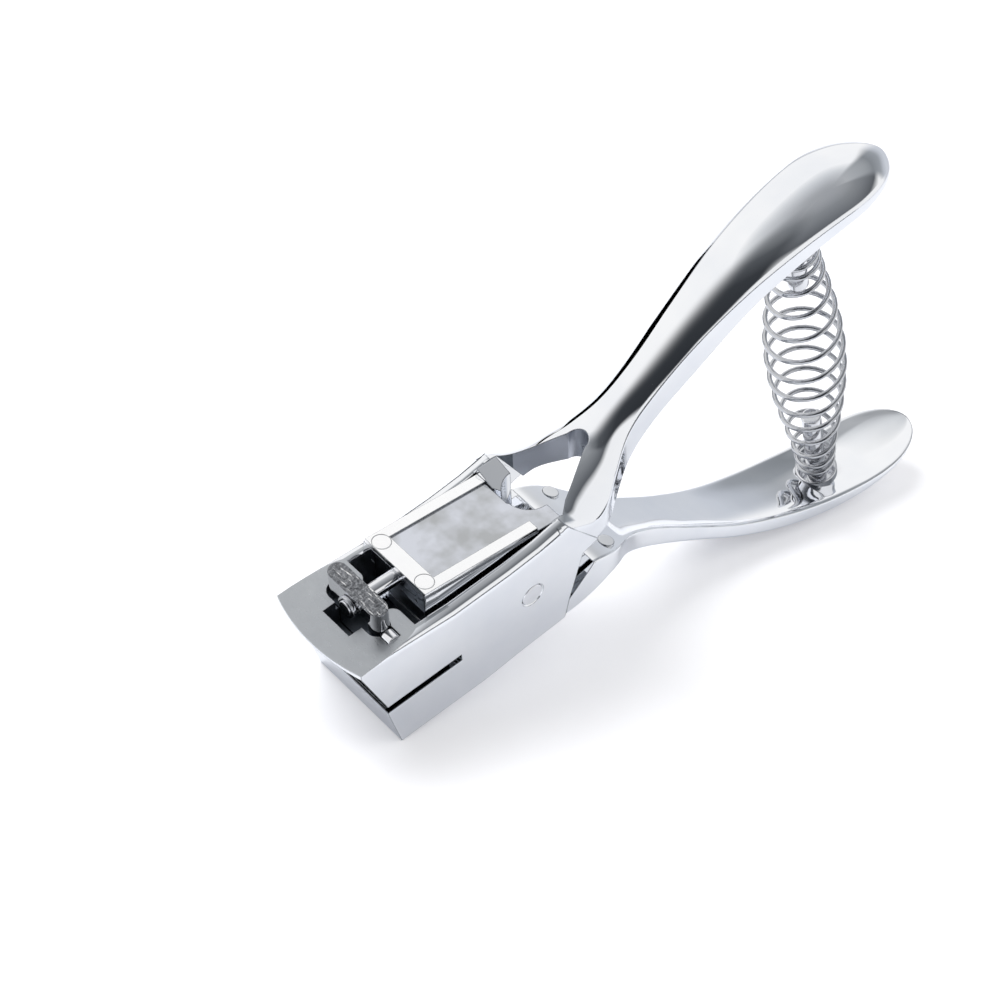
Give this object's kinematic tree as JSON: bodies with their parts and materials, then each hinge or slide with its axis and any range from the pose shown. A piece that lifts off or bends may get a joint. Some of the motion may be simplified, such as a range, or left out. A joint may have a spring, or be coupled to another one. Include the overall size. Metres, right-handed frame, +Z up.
{
  "type": "id card slot punch",
  "caption": "Hand-squeezed chrome punch that cuts a slot in identity cards: fixed upper handle and head, pivoting lower lever, barrel return spring.",
  "frame": {"origin": "on the table, under the middle of the tool's length and width as it stands on its jaw and on the belly of the lower handle", "axes": "+X towards the handles' tails, +Z up from the table, +Y across the tool"},
  "size_m": [0.1748, 0.0248, 0.0976],
  "materials": {
    "cast_chrome": "mirror-bright chrome plate on smooth castings",
    "plate_steel": "flat polished steel",
    "tool_steel": "hardened steel with a rough ground top",
    "pin_steel": "bright turned steel",
    "spring_steel": "nickel-plated drawn wire"
  },
  "bodies": {
    "frame": {"frame": "cast_chrome", "upper_spring_post": "pin_steel", "upper_spring_seat": "pin_steel", "die_plate": "tool_steel", "die_screws": "pin_steel", "guide_pin": "pin_steel", "pivot_pin": "pin_steel", "pivot_washers": "pin_steel"},
    "punch": {"punch": "tool_steel"},
    "lever": {"lever": "cast_chrome", "lever_plate": "plate_steel", "plate_rivets": "plate_steel", "drive_pin": "pin_steel", "drive_pin_ring": "spring_steel", "lower_spring_post": "pin_steel", "lower_spring_collar": "pin_steel", "return_spring": "spring_steel"}
  },
  "joints": [
    {"name": "lever_pivot", "type": "hinge", "parent": "frame", "child": "lever", "pos_m": [-0.04247, 0, 0.02566], "axis": [0, -1, 0], "range_deg": [0, 9], "stiffness_Nm_per_rad": 3.6, "springref_deg": -10.31, "deforming": ["return_spring"]},
    {"name": "punch_slide", "type": "slide", "parent": "frame", "child": "punch", "axis": [0.3134, 0, -0.9496], "range_m": [0, 0.005]}
  ],
  "couplings": [
    {"joint": "punch_slide", "follows": "lever_pivot", "m_per_rad": 0.03146}
  ]
}
